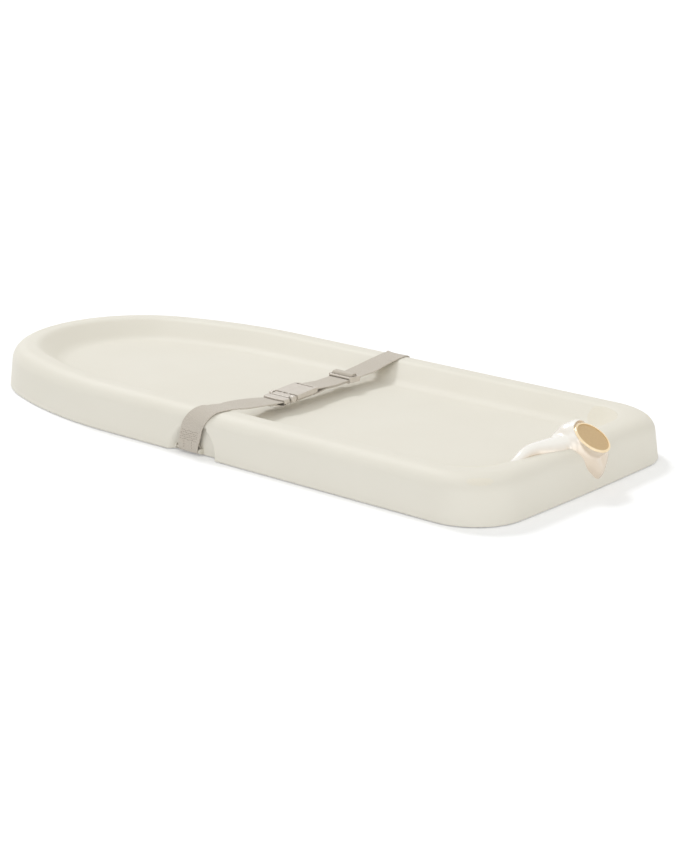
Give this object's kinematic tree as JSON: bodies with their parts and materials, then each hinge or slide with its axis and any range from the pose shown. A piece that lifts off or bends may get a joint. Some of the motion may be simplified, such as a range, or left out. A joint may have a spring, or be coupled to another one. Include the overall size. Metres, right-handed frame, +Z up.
{
  "type": "contoured changing pad",
  "caption": "Contoured foam changing pad with a raised rim, a round head end, a webbing safety belt with side-release buckle and slider, and a badge on the foot rim.",
  "frame": {"origin": "middle of the whole part's plan, at the level of the rubber feet's soles", "axes": "+X towards the foot end with the badge, +Z up, the near strap's buckle plug on the -Y side"},
  "size_m": [0.8297, 0.358, 0.0695],
  "materials": {
    "foam": "matte",
    "skin": "matte",
    "webbing": "matte",
    "buckle": "satin",
    "pearl": "gloss",
    "pale_gold": "satin",
    "gold": "satin",
    "foot_rubber": "matte",
    "insert_wood": "matte",
    "steel": "satin",
    "fixing_plastic": "matte"
  },
  "bodies": {
    "pad": {"foam_core": "foam", "outer_skin": "skin", "anchor_block_near": "insert_wood", "anchor_bracket_near": "buckle", "anchor_bar_near": "steel", "anchor_screws_near": "steel", "anchor_block_far": "insert_wood", "anchor_bracket_far": "buckle", "anchor_bar_far": "steel", "anchor_screws_far": "steel", "rubber_foot_1": "foot_rubber", "rubber_foot_2": "foot_rubber", "rubber_foot_3": "foot_rubber", "rubber_foot_4": "foot_rubber", "rubber_foot_5": "foot_rubber", "rubber_foot_6": "foot_rubber", "rubber_foot_7": "foot_rubber", "badge_boss": "pearl", "badge_bezel": "pale_gold", "badge_disc": "gold", "badge_pegs": "fixing_plastic", "belt_near_leg": "webbing", "belt_far_leg": "webbing"},
    "belt": {"belt_near_span": "webbing", "belt_loop": "webbing", "belt_far_span": "webbing", "buckle_socket": "buckle"},
    "plug": {"buckle_plug": "buckle", "belt_near_end": "webbing"},
    "arm_head": {"latch_arm_head": "buckle"},
    "arm_foot": {"latch_arm_foot": "buckle"},
    "slider": {"belt_slider": "buckle", "belt_sewn_end": "webbing", "belt_over_slider": "webbing"}
  },
  "joints": [
    {"name": "belt_swing", "type": "hinge", "parent": "pad", "child": "belt", "pos_m": [0.01878, 0, 0.04936], "axis": [0.0244, 0.9997, 0.0002], "range_deg": [-18, 18]},
    {"name": "buckle_release", "type": "slide", "parent": "belt", "child": "plug", "axis": [0, -0.9984, -0.0558], "range_m": [0, 0.027], "deforming": ["belt_near_span", "latch_arm_head", "latch_arm_foot"]},
    {"name": "latch_press_head", "type": "hinge", "parent": "plug", "child": "arm_head", "pos_m": [0.01053, -0.05122, 0.04052], "axis": [0, 0.0558, -0.9984], "range_deg": [0, 12], "stiffness_Nm_per_rad": 0.8},
    {"name": "latch_press_foot", "type": "hinge", "parent": "plug", "child": "arm_foot", "pos_m": [0.03353, -0.05122, 0.04052], "axis": [0, -0.0558, 0.9984], "range_deg": [0, 12], "stiffness_Nm_per_rad": 0.8},
    {"name": "slider_travel", "type": "slide", "parent": "belt", "child": "slider", "axis": [0, 1, 0], "range_m": [-0.038, 0.01], "deforming": ["belt_loop", "belt_far_span"]}
  ]
}
